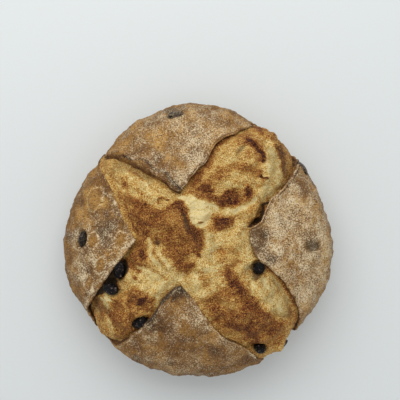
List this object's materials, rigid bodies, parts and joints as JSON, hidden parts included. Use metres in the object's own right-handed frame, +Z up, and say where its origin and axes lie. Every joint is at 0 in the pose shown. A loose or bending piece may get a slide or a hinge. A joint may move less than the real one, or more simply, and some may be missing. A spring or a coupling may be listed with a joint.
{
  "type": "sourdough loaf",
  "caption": "Round domed loaf with a cross cut that has opened into a torn bloom between flaps of floured crust, with raisins showing; rests on its flat base.",
  "frame": {"origin": "centre of the bounding box, on the plane of the flat base", "axes": "+Z up through the crown; seen from above with +Y away from the viewer, +X points to the flap on the right of the picture and +Y to its top"},
  "size_m": [0.2224, 0.2257, 0.0923],
  "materials": {
    "crust": "matt baked crust, golden to brown under a thin bloom of flour",
    "raisin": "dark wrinkled skin with a soft shine"
  },
  "bodies": {
    "root": {"loaf": "crust", "raisin_1": "raisin", "raisin_2": "raisin", "raisin_3": "raisin", "raisin_4": "raisin", "raisin_5": "raisin", "raisin_6": "raisin", "raisin_7": "raisin", "raisin_8": "raisin", "raisin_9": "raisin"}
  },
  "joints": []
}
